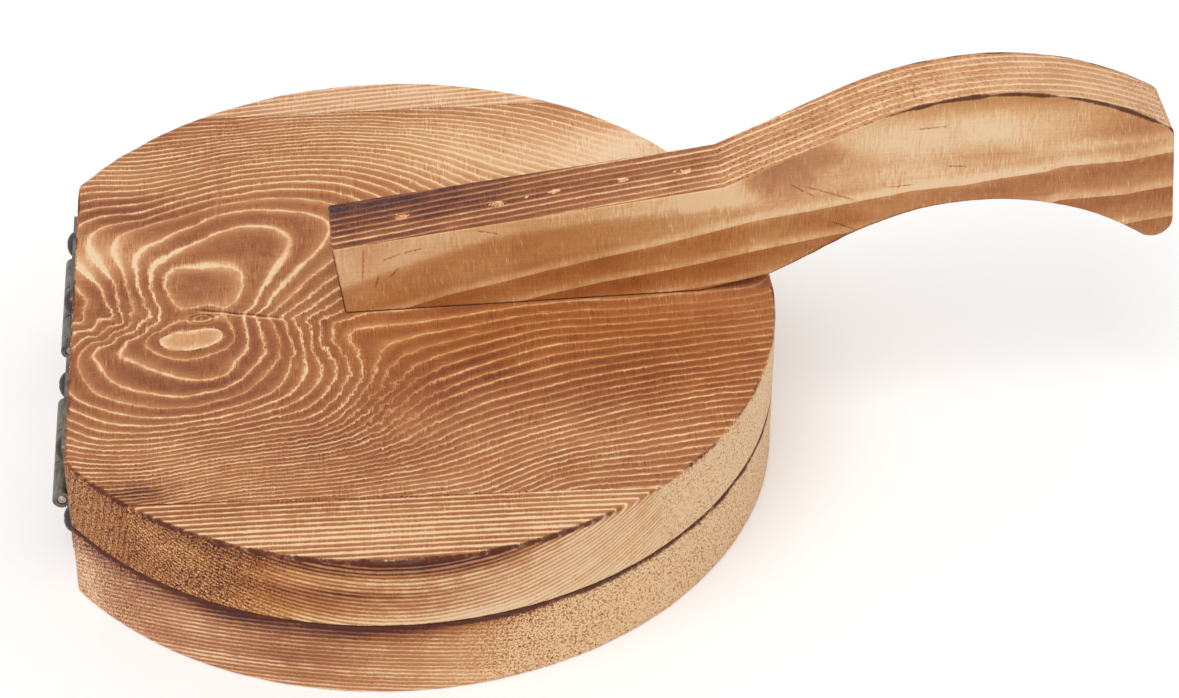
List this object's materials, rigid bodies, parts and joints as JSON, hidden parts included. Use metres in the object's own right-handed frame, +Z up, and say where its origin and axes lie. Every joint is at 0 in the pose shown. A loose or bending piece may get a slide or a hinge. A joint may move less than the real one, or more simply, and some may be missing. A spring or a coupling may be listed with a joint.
{
  "type": "tortilla press",
  "caption": "Wooden hand press: two round burnt-pine boards joined at a flat back by small butt hinges, with a bent wooden lever along the lid.",
  "frame": {"origin": "centre of the round of the base board's underside, on the surface the press stands on", "axes": "+X from the hinges towards the lever's grip, +Y along the hinge pins to the far side, +Z up"},
  "size_m": [0.2187, 0.15, 0.0745],
  "materials": {
    "base_pine": "torched and brushed pine, oiled satin",
    "lid_pine": "torched and brushed pine, oiled satin",
    "lever_pine": "sawn and torched pine, oiled satin",
    "brad_steel": "bare steel wire",
    "hinge_steel": "dull grey rolled steel",
    "pin_steel": "bright cut steel",
    "screw_steel": "black oxide"
  },
  "bodies": {
    "base": {"base_board": "base_pine", "near_hinge_base_leaf": "hinge_steel", "far_hinge_base_leaf": "hinge_steel", "near_hinge_pin": "pin_steel", "far_hinge_pin": "pin_steel", "near_base_screw_outer": "screw_steel", "near_base_screw_inner": "screw_steel", "far_base_screw_outer": "screw_steel", "far_base_screw_inner": "screw_steel"},
    "lid": {"lid_strip_near": "lid_pine", "lid_strip_middle": "lid_pine", "lid_strip_far": "lid_pine", "lever": "lever_pine", "lever_brads": "brad_steel", "near_hinge_lid_leaf": "hinge_steel", "far_hinge_lid_leaf": "hinge_steel", "near_lid_screw_outer": "screw_steel", "near_lid_screw_inner": "screw_steel", "far_lid_screw_outer": "screw_steel", "far_lid_screw_inner": "screw_steel"}
  },
  "joints": [
    {"name": "lid_hinge", "type": "hinge", "parent": "base", "child": "lid", "pos_m": [-0.06325, 0, 0.0165], "axis": [0, -1, 0], "range_deg": [0, 164]}
  ]
}
